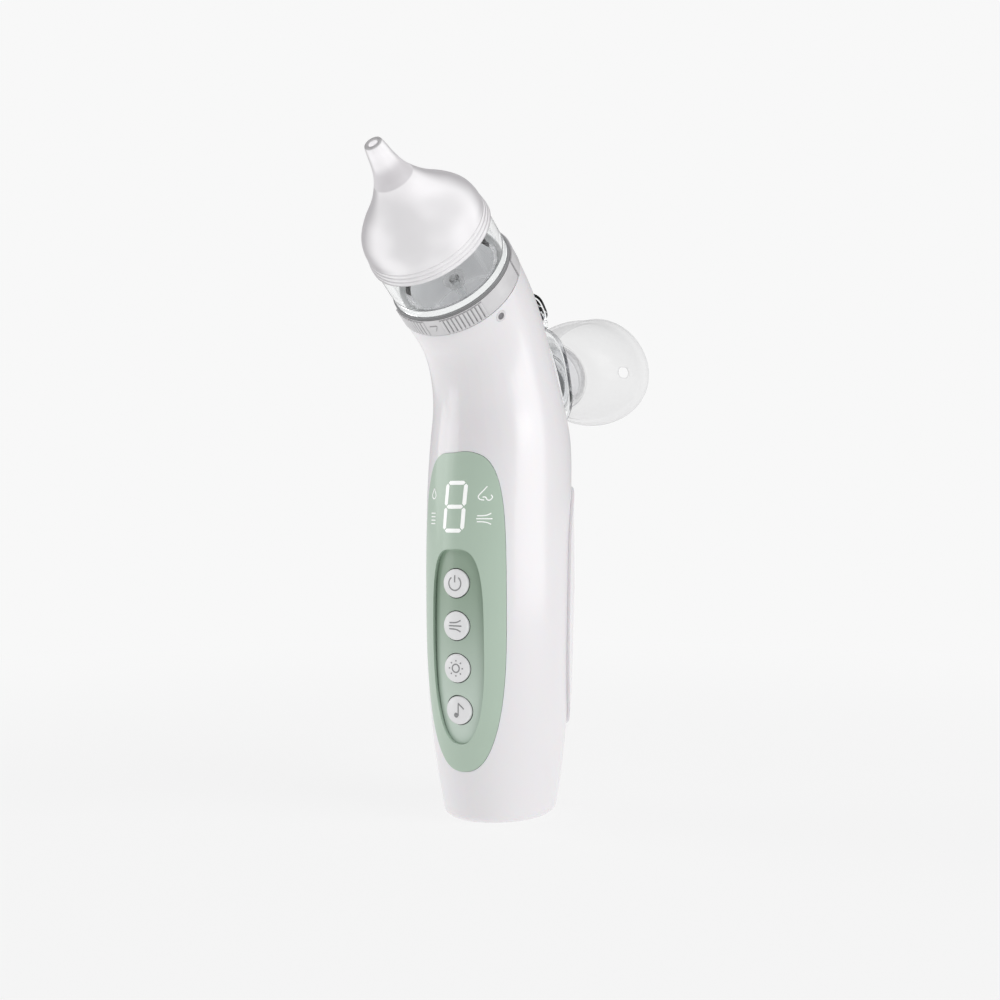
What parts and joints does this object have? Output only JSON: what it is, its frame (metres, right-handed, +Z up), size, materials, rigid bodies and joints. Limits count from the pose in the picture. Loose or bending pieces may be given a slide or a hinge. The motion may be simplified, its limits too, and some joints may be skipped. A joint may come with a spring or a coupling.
{
  "type": "nasal aspirator",
  "caption": "Handheld electric nasal aspirator with a bent handle, soft nozzle on a clear cup, green control panel, and a clear mist tank with a soft nose mask on its back.",
  "frame": {"origin": "centre of the flat base, on the straight handle's centre line", "axes": "+Z up along the handle, -Y to the front (control panel and nozzle side), +Y to the back (mist tank and mask), X to the sides"},
  "size_m": [0.0414, 0.1304, 0.188],
  "materials": {
    "shell_white": "gloss",
    "panel_green": "satin",
    "button_white": "satin",
    "light_guide": "gloss",
    "lens_grey": "gloss",
    "bezel_pale": "gloss",
    "clear_plastic": "clear, polished",
    "ring_frost": "frosted",
    "seal_grey": "matt",
    "silicone_milky": "satin, translucent",
    "silicone_clear": "satin, clear",
    "frame_grey": "moulded",
    "board_green": "solder mask",
    "display_black": "satin",
    "switch_black": "satin",
    "steel": "brushed",
    "screw_steel": "zinc",
    "battery_wrap": "shrink wrap",
    "pump_plastic": "moulded",
    "eccentric_brass": "machined",
    "rubber_black": "matt",
    "foam_grey": "open foam",
    "filter_white": "felt",
    "contact_gold": "plated",
    "speaker_black": "satin",
    "wire_red": "sleeve"
  },
  "bodies": {
    "housing": {"main_housing": "shell_white", "rear_cover": "shell_white", "control_panel": "panel_green", "digit_light_guide": "light_guide", "tact_switches": "switch_black", "main_board": "board_green", "board_screws": "screw_steel", "display_module": "display_black", "inner_frame": "frame_grey", "battery_cell": "battery_wrap", "pump_motor": "steel", "pump_housing": "pump_plastic", "pump_rocker": "pump_plastic", "pump_diaphragm": "rubber_black", "pump_cover": "pump_plastic", "pump_valves": "rubber_black", "pump_screws": "screw_steel", "pump_sleeve": "foam_grey", "exhaust_muffler": "foam_grey", "suction_tube": "silicone_clear", "charge_board": "board_green", "usb_connector": "steel", "speaker": "speaker_black", "speaker_gasket": "foam_grey", "light_bezel": "bezel_pale", "light_lens": "lens_grey", "lamp_board": "board_green", "cup_socket": "shell_white", "socket_seal": "seal_grey", "inlet_filter": "filter_white", "contact_pins": "contact_gold", "mesh_driver_board": "board_green", "motor_leads": "wire_red", "battery_leads": "wire_red"},
    "power_button": {"power_button": "button_white"},
    "suction_button": {"suction_button": "button_white"},
    "light_button": {"light_button": "button_white"},
    "music_button": {"music_button": "button_white"},
    "pump_rotor": {"motor_shaft": "steel", "pump_eccentric": "eccentric_brass"},
    "lock_ring": {"lock_ring": "ring_frost"},
    "cup": {"collection_cup": "clear_plastic", "cup_seal": "seal_grey", "splash_guard": "silicone_clear"},
    "nozzle": {"nozzle": "silicone_milky"},
    "tank": {"medicine_tank": "clear_plastic", "tank_contacts": "contact_gold", "mesh_disc": "steel", "mesh_seal": "seal_grey", "mesh_retainer": "frame_grey", "mask_adapter": "clear_plastic"},
    "tank_lid": {"tank_lid": "clear_plastic", "lid_plug": "silicone_clear"},
    "mask": {"nose_mask": "silicone_clear"}
  },
  "joints": [
    {"name": "power_button_press", "type": "slide", "parent": "housing", "child": "power_button", "axis": [0, 1, 0], "range_m": [0, 0.0005], "stiffness_N_per_m": 600},
    {"name": "suction_button_press", "type": "slide", "parent": "housing", "child": "suction_button", "axis": [0, 1, 0], "range_m": [0, 0.0005], "stiffness_N_per_m": 600},
    {"name": "light_button_press", "type": "slide", "parent": "housing", "child": "light_button", "axis": [0, 1, 0], "range_m": [0, 0.0005], "stiffness_N_per_m": 600},
    {"name": "music_button_press", "type": "slide", "parent": "housing", "child": "music_button", "axis": [0, 1, 0], "range_m": [0, 0.0005], "stiffness_N_per_m": 600},
    {"name": "pump_spin", "type": "hinge", "parent": "housing", "child": "pump_rotor", "pos_m": [0, 0.003, 0.09], "axis": [0, 0, 1], "continuous": true},
    {"name": "lock_ring_turn", "type": "hinge", "parent": "housing", "child": "lock_ring", "pos_m": [0, -0.038, 0.1654], "axis": [0, -0.7986, 0.6018], "range_deg": [0, 30]},
    {"name": "cup_lift", "type": "slide", "parent": "housing", "child": "cup", "axis": [0, -0.7986, 0.6018], "range_m": [0, 0.03]},
    {"name": "nozzle_pull", "type": "slide", "parent": "cup", "child": "nozzle", "axis": [0, -0.7986, 0.6018], "range_m": [0, 0.01]},
    {"name": "tank_pull", "type": "slide", "parent": "housing", "child": "tank", "axis": [0, 0.9511, 0.309], "range_m": [0, 0.015]},
    {"name": "lid_open", "type": "hinge", "parent": "tank", "child": "tank_lid", "pos_m": [0, 0.01614, 0.1472], "axis": [-1, 0, 0], "range_deg": [0, 100]},
    {"name": "mask_pull", "type": "slide", "parent": "tank", "child": "mask", "axis": [0, 0.9511, 0.309], "range_m": [0, 0.012]}
  ]
}
